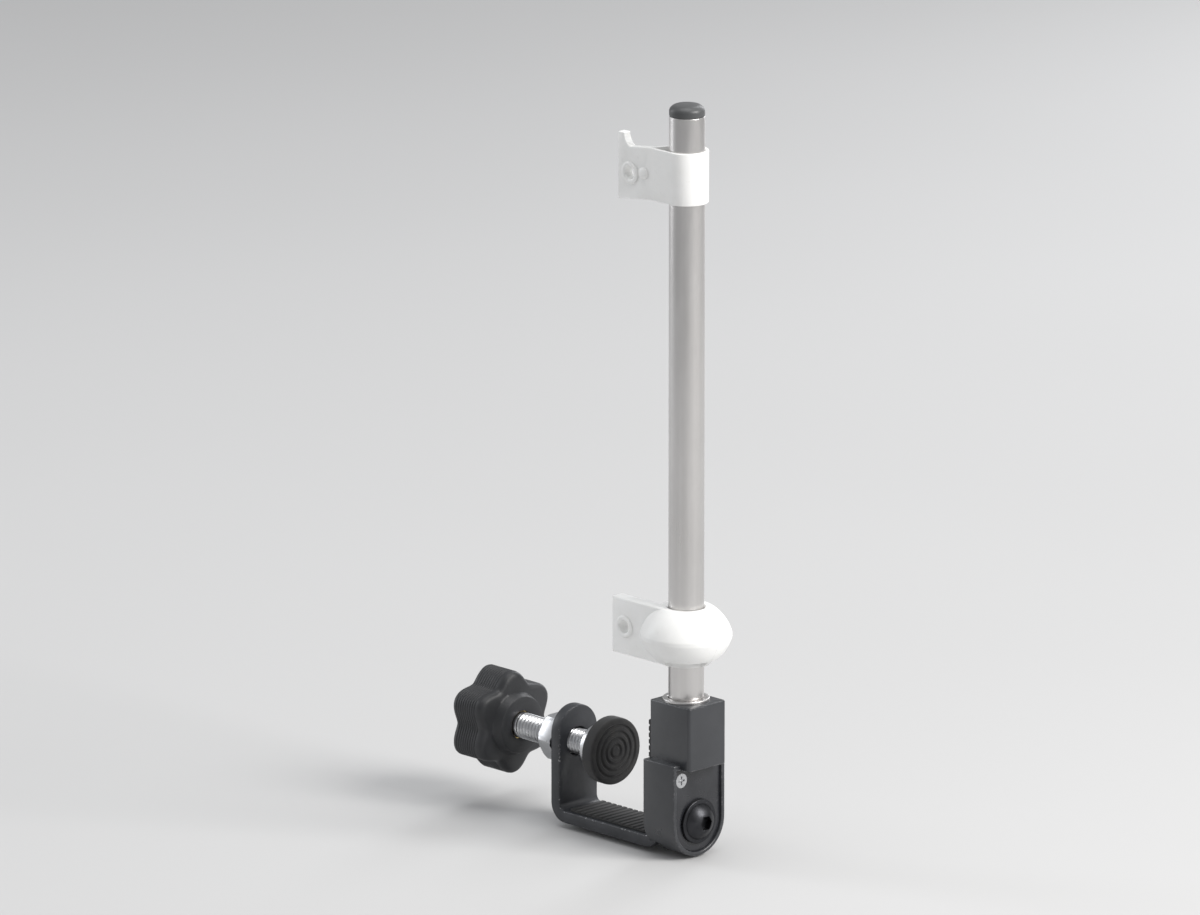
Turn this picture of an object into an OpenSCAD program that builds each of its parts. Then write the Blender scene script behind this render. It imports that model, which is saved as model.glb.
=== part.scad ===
// Side-rail net clamp for a table tennis table: one end of the net's support.
// A socket block hooks over the outer face of the table's side rail, a steel bracket
// runs under the rail, and a thumb screw behind the rail pulls the two together.
// Millimetres. +Z is up, +Y points from the outer jaw into the table.
// Origin: centre of the outer jaw's rubber face, on the clamp screw's axis.

/* [Post] */
// Outside diameter of the net post tube
post_d = 8; // [6:0.5:12]
// Wall thickness of the net post tube
post_wall = 0.8; // [0.5:0.1:1.5]
// Height of the top of the tube above the origin
post_top = 150.8; // [120:0.2:180]
// Height of the cap above the tube
cap_rise = 2.7; // [1:0.1:6]
// Distance from the jaw face to the post's axis
post_offset = 6.5; // [6:0.1:10]
// Depth of the foot spigot below the socket floor
spigot_len = 8.6; // [4:0.1:9]

/* [Socket block] */
// Width of the upper, square part of the block
upper_w = 11.6; // [11:0.2:16]
// Distance from the jaw face to the front of the upper part
upper_front = 13.4; // [12.4:0.1:18]
// Width of the lower part of the block
lower_w = 16; // [15:0.5:22]
// Distance from the jaw face to the front of the lower part
lower_front = 10.8; // [10:0.1:13]
// Height of the socket's mouth above the origin
socket_top = 17.5; // [12:0.1:24]
// Height of the step between the upper and lower parts
step_z = 3.5; // [3:0.1:6]
// Depth of the bracket bolt below the origin
bolt_drop = 10.7; // [9:0.1:12]
// Width of the raised rim around the front cover
rim_w = 1; // [0.6:0.1:2]
// Depth of the front cover behind the rim
cover_inset = 0.6; // [0.2:0.1:1]

/* [Jaws] */
// Thickness of the rail held in the resting pose
rail_t = 16; // [8:0.5:20]
// Depth of the rail's underside below the origin
rail_drop = 14.3; // [13:0.1:16]
// Width of the steel bracket
bracket_w = 12; // [10:0.5:15]
// Thickness of the steel bracket
bracket_t = 2.8; // [2:0.1:3.5]
// Distance from the jaw face to the far side of the bracket's arm
arm_back = 31; // [28:0.5:36]
// Thickness of the outer jaw's rubber pad
jaw_pad_t = 0.9; // [0.5:0.1:1.5]
// Height of the outer jaw's rubber pad
jaw_pad_h = 24; // [16:0.5:24]

/* [Clamp screw] */
// Diameter of the clamp screw
screw_d = 6; // [5:1:8]
// Distance from the jaw face to the front of the knob
knob_front = 46.5; // [46.5:0.5:60]
// Overall diameter of the knob
knob_d = 24; // [20:1:26]
// Thickness of the knob
knob_t = 12; // [9:0.5:16]
// Diameter of the swivel pad
pad_d = 14; // [10:0.5:16]

/* [Net clips] */
// Height of the upper strap
strap_h = 11.9; // [8:0.1:16]
// Height of the underside of the upper strap
strap_z = 131.2; // [90:0.2:150]
// Wall thickness of the upper strap
strap_wall = 0.8; // [0.6:0.1:2]
// Distance from the jaw face to the end of the upper strap
strap_reach = 10.5; // [10:0.5:24]
// Height that the upper strap's end flares
strap_flare = 3.4; // [1:0.1:5]
// Drop of the upper strap's end below its loop
strap_drop = 1.3; // [0:0.1:3]
// Height of the lower collar
collar_h = 12.9; // [10:0.1:16]
// Height of the underside of the lower collar
collar_z = 25.5; // [18:0.1:60]
// Outside diameter of the lower collar
collar_d = 20.8; // [16:0.2:26]
// Height of the lower collar's rounded shoulders
collar_round = 6; // [2:0.5:6]
// Distance from the jaw face to the end of the lower collar's arm
collar_reach = 11.5; // [11:0.5:26]

/* [Hidden] */
$fn = 96;
post_r = post_d / 2;
tube_in_r = post_r - post_wall;
py = -post_offset;
cap_top = post_top + cap_rise;
running = 0.05;
gap = 0.3;

ferrule_r = post_r + running + 0.65;
ferrule_flange_r = ferrule_r + 0.6;
flange_t = 0.6;
block_top = socket_top - flange_t;
socket_floor = step_z - 0.5;
foot_z = socket_floor + 0.1;
foot_flange_t = 0.8;
spigot_r = 2;
spigot_bottom = foot_z - spigot_len;
ring_r = 0.5;
ring_z = foot_z - 4.6;

block_back = -jaw_pad_t;
bolt_z = -bolt_drop;
low_r = lower_w / 2;
cover_r = low_r - rim_w;
cover_top = step_z - 1.3;
cover_front = -(lower_front - cover_inset);
cover_t = 1.2;
cover_back = cover_front + cover_t;
washer_t = 0.8;
head_y = cover_front - washer_t;
bolt_r = 2.5;
head_r = 4.2;
head_h = 2.4;
dome_r = (head_r * head_r + head_h * head_h) / (2 * head_h);
cover_screw_x = -5;
cover_screw_z = -0.4;

leg_front = block_back - bracket_t;
leg_top = -6.3;
bend_in = 1.5;
bend_out = bend_in + bracket_t;
saddle_pad_t = 0.7;
saddle_top = -rail_drop - saddle_pad_t;
saddle_bottom = saddle_top - bracket_t;
bend_z = saddle_top + bend_in;
bend_y1 = block_back + bend_in;
arm_front = arm_back - bracket_t;
bend_y2 = arm_front - bend_in;
arm_round_z = 2.4;

screw_r = screw_d / 2;
nut_af = 10;
nut_t = 5;
pad_r = pad_d / 2;
pad_rubber_t = 1.5;
pad_front = rail_t + pad_rubber_t;
pad_flange_t = 2;
pad_back = pad_front + 5.3;
pocket_y = pad_front + 1.5;
pocket_r = 2.8;
button_y = pocket_y + gap;
button_r = 2.5;
button_t = 2;
neck_r = 1.6;
clip_y = button_y + button_t + gap;
clip_t = 0.6;
clip_r = 3.3;
rod_start = pad_back + gap;
knob_back = knob_front + knob_t;
insert_start = knob_front + 1;
insert_end = knob_back - 2;
insert_af = 9.5;
grub_y = knob_front + 5;
lobe_r = 3.4;
cap_r = 6;

strap_r = post_r + running + strap_wall;
strap_tail = 1;
strap_x = strap_tail - strap_r;
strap_merge = 7.2;
strap_bend = py + strap_merge;
// How far inside a loop its straight wall starts
bite = 0.02;
rivet_y = 2.3;
rivet_r = 0.9;
rivet_head_r = 1.4;
eyelet_y = 6.6;
eye_r = 1.5;
eye_barrel_r = 1.9;
eye_lip_r = 2.6;
eye_lip_t = 0.4;
collar_r = collar_d / 2;
collar_tail = 1.6;
collar_eye_y = collar_reach - 4;
collar_hub_r = post_r + running + 1.6;
collar_core_r = collar_r - 2.6;
collar_foot_r = collar_hub_r + 0.15;
collar_arm_x = collar_tail - collar_hub_r;
collar_grub_z = collar_z + collar_h / 2;

// Box between two corners
module block(x0, x1, y0, y1, z0, z1) {
    translate([x0, y0, z0])
        cube([x1 - x0, y1 - y0, z1 - z0]);
}

// Cylinder along Y between y0 and y1
module rod_y(r, y0, y1, x = 0, z = 0) {
    translate([x, y0, z])
        rotate([-90, 0, 0])
            cylinder(r = r, h = y1 - y0);
}

// Cone along Y, radius ra at y0 and rb at y1
module cone_y(ra, rb, y0, y1, x = 0, z = 0) {
    translate([x, y0, z])
        rotate([-90, 0, 0])
            cylinder(r1 = ra, r2 = rb, h = y1 - y0);
}

// Cylinder along X between x0 and x1
module rod_x(r, x0, x1, y = 0, z = 0) {
    translate([x0, y, z])
        rotate([0, 90, 0])
            cylinder(r = r, h = x1 - x0);
}

// Cylinder along Z on the post's axis
module post_rod(r, z0, z1) {
    translate([0, py, z0])
        cylinder(r = r, h = z1 - z0);
}

// Hexagonal prism along Y, sized across flats
module hex_y(af, y0, y1, x = 0, z = 0) {
    translate([x, y0, z])
        rotate([-90, 0, 0])
            cylinder(r = af / sqrt(3), h = y1 - y0, $fn = 6);
}

// Quarter of a bent strip, seen along X
module strip_bend(y, z, side) {
    intersection() {
        difference() {
            rod_x(bend_out, -bracket_w / 2, bracket_w / 2, y, z);
            rod_x(bend_in, -bracket_w, bracket_w, y, z);
        }
        block(-bracket_w, bracket_w, side < 0 ? y - 2 * bend_out : y,
            side < 0 ? y : y + 2 * bend_out, z - 2 * bend_out, z);
    }
}

// Lower block's outline, straight sides and a round bottom, seen along Y
module lower_outline(r, top, y0, y1) {
    block(-r, r, y0, y1, bolt_z, top);
    rod_y(r, y0, y1, 0, bolt_z);
}

// Angle from +Y at which the returning wall leaves a loop of radius r
function leave_angle(r, x, y) = atan2(x, y) + acos(r / sqrt(x * x + y * y));

// Round loop on the post's axis that starts and ends in a flat band along its -X side
module band_loop(r, thick, merge, h) {
    start = r - bite;
    phi = leave_angle(start, thick - r, merge);
    translate([0, py, 0])
        linear_extrude(h) {
            circle(r);
            polygon([[start * sin(phi), start * cos(phi)], [thick - r, merge], [-r, merge],
                [-r, 0], [0, 0]]);
        }
}

// Opening inside a band loop, from the post out to where its two walls meet
module band_opening(r, phi, h) {
    translate([0, py, 0])
        linear_extrude(h)
            polygon([[r * sin(phi), r * cos(phi)], [-r, r * (1 + sin(phi)) / cos(phi)], [-r, 0],
                [0, 0]]);
}

// Hollow eyelet through a tail centred at x, axis along X
module eyelet(tail, x, y, z) {
    difference() {
        union() {
            rod_x(eye_barrel_r, x - tail, x + tail, y, z);
            rod_x(eye_lip_r, x - tail - eye_lip_t, x - tail, y, z);
            rod_x(eye_lip_r, x + tail, x + tail + eye_lip_t, y, z);
        }
        rod_x(eye_r, x - tail - 1, x + tail + 1, y, z);
    }
}

// Height of the middle of the upper strap's sloping tail
function tail_mid(y) = strap_z + strap_h / 2
    - strap_drop * (y - strap_bend) / (strap_reach - strap_bend);

// Moulded socket block that carries the post and the outer jaw
module body_shell() {
    corner = 0.8;
    color([0.16, 0.17, 0.18])
        difference() {
            union() {
                block(-upper_w / 2, upper_w / 2, -upper_front + corner, block_back,
                    socket_floor - 1, block_top);
                block(-upper_w / 2 + corner, upper_w / 2 - corner, -upper_front, block_back,
                    socket_floor - 1, block_top);
                for (s = [-1, 1])
                    translate([s * (upper_w / 2 - corner), -upper_front + corner, socket_floor - 1])
                        cylinder(r = corner, h = block_top - socket_floor + 1);
                lower_outline(low_r, step_z, -lower_front, block_back);
            }
            post_rod(ferrule_r, socket_floor, block_top + 1);
            post_rod(spigot_r + running, spigot_bottom - gap, socket_floor + 1);
            lower_outline(cover_r, cover_top, -lower_front - 3, cover_back);
            block(-bracket_w / 2, bracket_w / 2, leg_front, block_back + 1, bolt_z - 20, leg_top);
            rod_y(bolt_r + 0.2, -lower_front - 1, leg_front + 1, 0, bolt_z);
            rod_y(0.9, cover_back - 1, cover_back + 4.2, cover_screw_x, cover_screw_z);
            for (s = [-1, 1])
                block(s * 5.4 - 1.1, s * 5.4 + 1.1, cover_back - 1, cover_back + 3.6, -8.4, -3.2);
        }
}

// Inset front panel held by the small screw and the bracket bolt
module front_cover() {
    color([0.07, 0.07, 0.08])
        difference() {
            lower_outline(cover_r, cover_top, cover_front, cover_back);
            rod_y(bolt_r + 0.2, cover_front - 1, cover_back + 1, 0, bolt_z);
            rod_y(0.9, cover_front - 1, cover_back + 1, cover_screw_x, cover_screw_z);
            cone_y(1.7, 0.9, cover_front, cover_front + 0.8, cover_screw_x, cover_screw_z);
        }
}

// Countersunk screw at the cover's upper corner
module cover_screw() {
    color([0.62, 0.63, 0.65])
        difference() {
            union() {
                cone_y(1.7, 0.9, cover_front, cover_front + 0.8, cover_screw_x, cover_screw_z);
                rod_y(0.9, cover_front + 0.7, cover_back + 4, cover_screw_x, cover_screw_z);
            }
            for (a = [0, 90])
                translate([cover_screw_x, cover_front, cover_screw_z])
                    rotate([0, a, 0])
                        block(-1, 1, -1, 0.4, -0.2, 0.2);
        }
}

// Bright liner pressed into the socket
module socket_ferrule() {
    color([0.7, 0.71, 0.72])
        difference() {
            union() {
                post_rod(ferrule_r, socket_floor, block_top);
                post_rod(ferrule_flange_r, block_top, socket_top);
            }
            post_rod(post_r + running, socket_floor - 1, socket_top + 1);
        }
}

// Bent steel strip: leg in the block, saddle under the rail, arm behind it
module jaw_bracket() {
    half = bracket_w / 2;
    color([0.2, 0.21, 0.22])
        difference() {
            union() {
                block(-half, half, leg_front, block_back, bend_z, leg_top);
                strip_bend(bend_y1, bend_z, -1);
                block(-half, half, bend_y1, bend_y2, saddle_bottom, saddle_top);
                strip_bend(bend_y2, bend_z, 1);
                block(-half, half, arm_front, arm_back, bend_z, arm_round_z);
                rod_y(half, arm_front, arm_back, 0, arm_round_z);
            }
            rod_y(bolt_r, leg_front - 1, block_back + 1, 0, bolt_z);
            rod_y(screw_r + 0.3, arm_front - 1, arm_back + 1);
            for (y = [6, 20])
                translate([0, y, saddle_bottom - 1])
                    cylinder(r = 1.5, h = bracket_t + 2);
        }
}

// Domed hexagon-socket bolt that joins cover, block and bracket
module bracket_bolt() {
    apex = head_y - head_h;
    color([0.12, 0.12, 0.13])
        difference() {
            union() {
                intersection() {
                    translate([0, apex + dome_r, bolt_z])
                        sphere(r = dome_r);
                    rod_y(head_r, apex - 1, head_y, 0, bolt_z);
                }
                rod_y(bolt_r, head_y - 0.5, block_back - 0.2, 0, bolt_z);
            }
            hex_y(3, apex - 1, apex + 1.7, 0, bolt_z);
        }
}

// Washer under the domed head
module bracket_washer() {
    color([0.55, 0.56, 0.58])
        difference() {
            rod_y(head_r + 0.9, head_y, cover_front, 0, bolt_z);
            rod_y(bolt_r + 0.2, head_y - 1, cover_front + 1, 0, bolt_z);
        }
}

// Rubber facing of the outer jaw
module outer_jaw_pad() {
    color([0.05, 0.05, 0.05])
        block(-upper_w / 2 + 0.4, upper_w / 2 - 0.4, block_back, 0,
            -jaw_pad_h / 2, jaw_pad_h / 2);
}

// Rubber strip on the saddle, keyed into two holes
module saddle_pad() {
    color([0.05, 0.05, 0.05]) {
        block(-bracket_w / 2 + 1, bracket_w / 2 - 1, 1.5, bend_y2 - 1, saddle_top, -rail_drop);
        for (y = [6, 20])
            translate([0, y, saddle_bottom + 0.4])
                cylinder(r = 1.5, h = bracket_t - 0.3);
    }
}

// Hexagon nut welded to the arm
module weld_nut() {
    corner_r = nut_af / sqrt(3);
    color([0.6, 0.61, 0.63])
        difference() {
            intersection() {
                hex_y(nut_af, arm_back, arm_back + nut_t);
                cone_y(corner_r + 3.5, corner_r - 0.6, arm_back, arm_back + nut_t);
            }
            rod_y(screw_r + running, arm_back - 1, arm_back + nut_t + 1);
        }
}

// Net post tube
module post_tube() {
    color([0.74, 0.73, 0.72])
        difference() {
            post_rod(post_r, foot_z + foot_flange_t, post_top);
            post_rod(tube_in_r, foot_z, post_top + 1);
        }
}

// Cap pressed into the top of the tube
module post_top_cap() {
    color([0.4, 0.4, 0.41])
        union() {
            post_rod(tube_in_r, post_top - 7, post_top);
            post_rod(post_r, post_top, cap_top - 0.9);
            translate([0, py, cap_top - 0.9])
                cylinder(r1 = post_r, r2 = post_r - 0.9, h = 0.9);
        }
}

// Plug in the tube's foot with a spigot that keys into the socket floor
module post_foot_plug() {
    color([0.2, 0.2, 0.21])
        difference() {
            union() {
                post_rod(tube_in_r, foot_z, foot_z + 8);
                post_rod(post_r - 0.1, foot_z, foot_z + foot_flange_t);
                post_rod(spigot_r, spigot_bottom + 0.6, foot_z);
                translate([0, py, spigot_bottom])
                    cylinder(r1 = spigot_r - 0.6, r2 = spigot_r, h = 0.6);
            }
            difference() {
                post_rod(spigot_r + 1, ring_z - 0.6, ring_z + 0.6);
                post_rod(spigot_r - 2 * ring_r, ring_z - 1, ring_z + 1);
            }
        }
}

// Rubber ring that gives the spigot its grip
module foot_o_ring() {
    color([0.04, 0.04, 0.04])
        translate([0, py, ring_z])
            rotate_extrude()
                translate([spigot_r - ring_r, 0])
                    circle(ring_r);
}

// Metal foot of the clamp screw
module swivel_pad() {
    color([0.6, 0.61, 0.63])
        difference() {
            union() {
                rod_y(pad_r, pad_front, pad_front + pad_flange_t);
                cone_y(pad_r, 5, pad_front + pad_flange_t, pad_front + 3.2);
                rod_y(5, pad_front + 3.2, pad_back);
            }
            rod_y(pocket_r, pocket_y, pad_back + 1);
            rod_y(clip_r, clip_y, clip_y + clip_t);
        }
}

// Rubber cap stretched over the swivel pad
module swivel_pad_rubber() {
    color([0.05, 0.05, 0.05])
        difference() {
            rod_y(pad_r + 0.7, rail_t, pad_front + pad_flange_t - 0.4);
            rod_y(pad_r, pad_front, pad_back);
        }
}

// Split ring that holds the screw's button in the swivel pad
module pad_retaining_clip() {
    color([0.45, 0.46, 0.48])
        difference() {
            rod_y(clip_r, clip_y, clip_y + clip_t);
            rod_y(neck_r + gap, clip_y - 1, clip_y + clip_t + 1);
            block(-0.7, 0.7, clip_y - 1, clip_y + clip_t + 1, -5, 0);
        }
}

// Threaded spindle with a turned button at the pad end
module clamp_screw() {
    color([0.68, 0.69, 0.71])
        union() {
            rod_y(button_r, button_y, button_y + button_t);
            rod_y(neck_r, button_y, rod_start + 1);
            cone_y(screw_r - 0.7, screw_r, rod_start, rod_start + 0.7);
            rod_y(screw_r, rod_start + 0.7, insert_end - 0.6);
        }
}

// Brass insert moulded into the knob
module knob_insert() {
    color([0.76, 0.62, 0.32])
        difference() {
            hex_y(insert_af, insert_start, insert_end);
            rod_y(screw_r, insert_start - 1, insert_end + 1);
            rod_x(1.5, 0, knob_d, grub_y);
        }
}

// Lobed hand knob
module screw_knob() {
    ring = knob_d / 2 - lobe_r;
    color([0.09, 0.09, 0.1])
        difference() {
            union() {
                cone_y(6.6, 7.4, knob_front, knob_front + 2);
                rod_y(ring + 1.2, knob_front + 2, knob_back - 0.6);
                for (a = [30:60:330])
                    rotate([0, a, 0])
                        rod_y(lobe_r, knob_front + 2.4, knob_back - 1, ring);
                rod_y(ring - 0.4, knob_back - 1, knob_back);
            }
            rod_y(screw_r + 0.2, knob_front - 1, insert_start + 1);
            hex_y(insert_af, insert_start, insert_end);
            rod_y(cap_r, insert_end, knob_back + 1);
            rod_x(1.5, 3, knob_d, grub_y);
        }
}

// Push-in cap over the end of the spindle
module knob_cap() {
    color([0.07, 0.07, 0.08])
        union() {
            rod_y(cap_r, insert_end + 0.4, knob_back);
            cone_y(cap_r, cap_r - 1, knob_back, knob_back + 0.8);
        }
}

// Grub screw that locks the knob to the spindle
module knob_set_screw() {
    color([0.2, 0.2, 0.21])
        difference() {
            rod_x(1.5, screw_r, 8.2, grub_y);
            translate([6.8, grub_y, 0])
                rotate([0, 90, 0])
                    cylinder(r = 0.87, h = 3, $fn = 6);
        }
}

// Sloping flat tail of the upper strap, with a flare where the net's tape joins it
module strap_tail_plate() {
    top = strap_z + strap_h;
    end_top = top - strap_drop;
    flare_y = strap_reach - 2 - strap_flare;
    translate([strap_x - strap_tail, 0, 0])
        rotate([90, 0, 90])
            linear_extrude(2 * strap_tail)
                polygon([[strap_bend - 0.5, strap_z], [strap_bend, strap_z],
                    [strap_reach, strap_z - strap_drop], [strap_reach, end_top],
                    [strap_bend, top], [strap_bend - 0.5, top]]);
    difference() {
        block(strap_x - strap_tail, strap_x + strap_tail, flare_y, strap_reach,
            end_top - 0.5, end_top + strap_flare);
        rod_x(strap_flare, strap_x - 5, strap_x + 5, flare_y, end_top + strap_flare);
    }
}

// White strap looped round the post near its top
module upper_net_strap() {
    color([0.93, 0.93, 0.92])
        difference() {
            union() {
                translate([0, 0, strap_z])
                    band_loop(strap_r, 2 * strap_tail, strap_merge, strap_h);
                strap_tail_plate();
            }
            post_rod(post_r + running, strap_z - 1, strap_z + strap_h + 1);
            translate([0, 0, strap_z - 1])
                band_opening(post_r + running,
                    leave_angle(strap_r, 2 * strap_tail - strap_r, strap_merge), strap_h + 2);
            rod_x(rivet_r, strap_x - 5, strap_x + 5, rivet_y, tail_mid(rivet_y));
            rod_x(eye_barrel_r, strap_x - 5, strap_x + 5, eyelet_y, tail_mid(eyelet_y));
        }
}

// Rivet that closes the strap's loop
module upper_rivet() {
    color([0.93, 0.93, 0.92])
        translate([strap_x, rivet_y, tail_mid(rivet_y)]) {
            rod_x(rivet_r, -strap_tail - 0.2, strap_tail + 0.2);
            for (s = [-1, 1])
                translate([s * strap_tail, 0, 0])
                    rotate([0, s * 90, 0])
                        cylinder(r1 = rivet_head_r, r2 = rivet_head_r - 0.5, h = 0.6);
        }
}

// Eyelet for the net's top cord
module upper_eyelet() {
    color([0.93, 0.93, 0.92])
        eyelet(strap_tail, strap_x, eyelet_y, tail_mid(eyelet_y));
}

// Round-shouldered outside of the lower collar
module collar_ball() {
    rise = (collar_r * collar_r - collar_foot_r * collar_foot_r + collar_round * collar_round)
        / (2 * collar_round);
    ball_r = sqrt(collar_foot_r * collar_foot_r + rise * rise);
    intersection() {
        cylinder(r = collar_r, h = collar_h);
        translate([0, 0, rise])
            sphere(r = ball_r);
        translate([0, 0, collar_h - rise])
            sphere(r = ball_r);
    }
}

// White moulded collar round the foot of the net, cored out from below
module lower_net_collar() {
    core_top = collar_z + collar_h - 4.4;
    color([0.93, 0.93, 0.92])
        difference() {
            union() {
                translate([0, py, collar_z])
                    collar_ball();
                post_rod(collar_hub_r, collar_z, collar_z + collar_h);
                block(-collar_hub_r, 2 * collar_tail - collar_hub_r, py, collar_reach,
                    collar_z, collar_z + collar_h);
            }
            difference() {
                post_rod(collar_core_r, collar_z - 1, core_top);
                post_rod(collar_hub_r, collar_z - 2, core_top + 1);
                block(-collar_r, collar_r, py - 0.7, py + 0.7, collar_z - 2, core_top + 1);
                block(-0.7, 0.7, py - collar_r, py, collar_z - 2, core_top + 1);
                block(-collar_r, 5, py, collar_r, collar_z - 2, core_top + 1);
                rod_x(2.9, 4.5, collar_r, py, collar_grub_z);
            }
            post_rod(post_r + running, collar_z - 1, collar_z + collar_h + 1);
            rod_x(1.5, 0, collar_r + 1, py, collar_grub_z);
            rod_x(eye_barrel_r, collar_arm_x - 5, collar_arm_x + 5, collar_eye_y, collar_grub_z);
        }
}

// Eyelet for the net's bottom cord
module lower_eyelet() {
    color([0.93, 0.93, 0.92])
        eyelet(collar_tail, collar_arm_x, collar_eye_y, collar_grub_z);
}

// Grub screw that fixes the collar's height
module collar_set_screw() {
    tip = post_r + gap;
    color([0.5, 0.51, 0.53])
        difference() {
            rod_x(1.5, tip, collar_r - 0.6, py, collar_grub_z);
            translate([collar_r - 2.2, py, collar_grub_z])
                rotate([0, 90, 0])
                    cylinder(r = 0.87, h = 3, $fn = 6);
        }
}

body_shell();
front_cover();
cover_screw();
socket_ferrule();
jaw_bracket();
bracket_bolt();
bracket_washer();
outer_jaw_pad();
saddle_pad();
weld_nut();
post_tube();
post_top_cap();
post_foot_plug();
foot_o_ring();
swivel_pad();
swivel_pad_rubber();
pad_retaining_clip();
clamp_screw();
knob_insert();
screw_knob();
knob_cap();
knob_set_screw();
upper_net_strap();
upper_rivet();
upper_eyelet();
lower_net_collar();
lower_eyelet();
collar_set_screw();
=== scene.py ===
import math

import bmesh
import bpy
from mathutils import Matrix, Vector


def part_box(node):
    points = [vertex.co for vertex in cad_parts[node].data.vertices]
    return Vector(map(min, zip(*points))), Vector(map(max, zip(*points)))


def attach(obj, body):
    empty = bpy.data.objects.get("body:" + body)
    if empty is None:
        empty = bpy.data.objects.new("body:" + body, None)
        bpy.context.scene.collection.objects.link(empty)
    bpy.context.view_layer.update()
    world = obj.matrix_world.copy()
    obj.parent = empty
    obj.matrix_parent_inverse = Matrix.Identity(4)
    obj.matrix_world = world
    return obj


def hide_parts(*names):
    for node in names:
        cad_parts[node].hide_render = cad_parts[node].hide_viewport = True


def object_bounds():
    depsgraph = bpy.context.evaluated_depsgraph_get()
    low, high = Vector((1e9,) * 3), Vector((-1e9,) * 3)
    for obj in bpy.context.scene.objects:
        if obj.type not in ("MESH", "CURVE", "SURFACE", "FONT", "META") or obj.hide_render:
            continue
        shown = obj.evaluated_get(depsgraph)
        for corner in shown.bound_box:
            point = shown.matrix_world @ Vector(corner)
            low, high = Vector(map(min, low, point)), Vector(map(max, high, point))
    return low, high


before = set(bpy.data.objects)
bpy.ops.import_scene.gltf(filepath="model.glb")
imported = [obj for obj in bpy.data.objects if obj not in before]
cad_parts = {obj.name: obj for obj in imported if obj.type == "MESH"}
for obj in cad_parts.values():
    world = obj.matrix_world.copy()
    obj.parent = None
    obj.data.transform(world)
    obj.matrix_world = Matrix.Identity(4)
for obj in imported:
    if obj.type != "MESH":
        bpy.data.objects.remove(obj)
CAD_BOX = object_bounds()
MM = 0.001
SCENE = bpy.context.scene


# ---------------------------------------------------------------- materials

# Nearly all of a noise texture's values lie between these two.
NOISE = (0.3, 0.7)


class Look:
    """One procedural material, built from nodes around a Principled shader."""

    def __init__(self, name, **constants):
        self.mat = bpy.data.materials.new(name)
        self.mat.use_nodes = True
        self.tree = self.mat.node_tree
        self.shader = self.tree.nodes["Principled BSDF"]
        for socket, value in constants.items():
            self.shader.inputs[socket.replace("_", " ")].default_value = value
        self.place = self.add("ShaderNodeTexCoord").outputs["Object"]

    def add(self, kind, **settings):
        node = self.tree.nodes.new(kind)
        for key, value in settings.items():
            setattr(node, key, value)
        return node

    def plug(self, socket, value):
        """Puts a number, a colour or another node's output into a socket."""
        if isinstance(value, bpy.types.NodeSocket):
            self.tree.links.new(value, socket)
        elif isinstance(value, tuple):
            socket.default_value = (*value, 1)
        else:
            socket.default_value = value

    def feed(self, name, value):
        """Puts a value into one of the shader's own sockets."""
        self.plug(self.shader.inputs[name], value)

    def noise(self, size_mm, detail=4, roughness=0.55, stretch=(1, 1, 1)):
        """Noise whose features are about size_mm across, scaled per axis by stretch."""
        place = self.add("ShaderNodeMapping")
        place.inputs["Scale"].default_value = stretch
        self.plug(place.inputs["Vector"], self.place)
        node = self.add("ShaderNodeTexNoise")
        node.inputs["Scale"].default_value = 1 / (size_mm * MM)
        node.inputs["Detail"].default_value = detail
        node.inputs["Roughness"].default_value = roughness
        self.plug(node.inputs["Vector"], place.outputs["Vector"])
        return node.outputs["Fac"]

    def cells(self, size_mm):
        """Distance from the centres of random cells about size_mm across."""
        node = self.add("ShaderNodeTexVoronoi")
        node.inputs["Scale"].default_value = 1 / (size_mm * MM)
        self.plug(node.inputs["Vector"], self.place)
        return node.outputs["Distance"]

    def span(self, value, lo, hi, from_lo=0.0, from_hi=1.0):
        """value mapped from one range to another, clamped."""
        node = self.add("ShaderNodeMapRange")
        limits = {"From Min": from_lo, "From Max": from_hi, "To Min": lo, "To Max": hi}
        for key, number in limits.items():
            node.inputs[key].default_value = number
        self.plug(node.inputs["Value"], value)
        return node.outputs["Result"]

    def math(self, how, *values):
        """The outcome of one sum; each value is a number or another node's output."""
        node = self.add("ShaderNodeMath", operation=how)
        for socket, value in zip(node.inputs, values):
            self.plug(socket, value)
        return node.outputs[0]

    def mix(self, share, a, b):
        """Colour mix: a where share is 0, b where it is 1."""
        node = self.add("ShaderNodeMix", data_type="RGBA")
        for index, value in ((0, share), (6, a), (7, b)):
            self.plug(node.inputs[index], value)
        return node.outputs[2]

    def bump(self, height, depth_mm, strength=1.0, under=None):
        """Relief from a height, laid over the relief under."""
        node = self.add("ShaderNodeBump")
        node.inputs["Distance"].default_value = depth_mm * MM
        node.inputs["Strength"].default_value = strength
        self.plug(node.inputs["Height"], height)
        if under is not None:
            self.plug(node.inputs["Normal"], under)
        return node.outputs["Normal"]

    def seam(self, width_mm, depth_mm, under):
        """A fine moulding ridge where the two mould halves met, on the plane X = 0."""
        axes = self.add("ShaderNodeSeparateXYZ")
        self.plug(axes.inputs[0], self.place)
        away = self.math("ABSOLUTE", axes.outputs["X"])
        ridge = self.span(away, 1, 0, 0, width_mm * MM)
        return self.bump(ridge, depth_mm, under=under)

    def edge(self, size_mm, lo, hi):
        """Broken patches along the rounded edges, from 0 to 1."""
        node = self.add("ShaderNodeAttribute", attribute_name="edge")
        patches = self.span(self.noise(size_mm, detail=5, roughness=0.65), 0, 1, lo, hi)
        return self.math("MULTIPLY", node.outputs["Fac"], patches)


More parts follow.
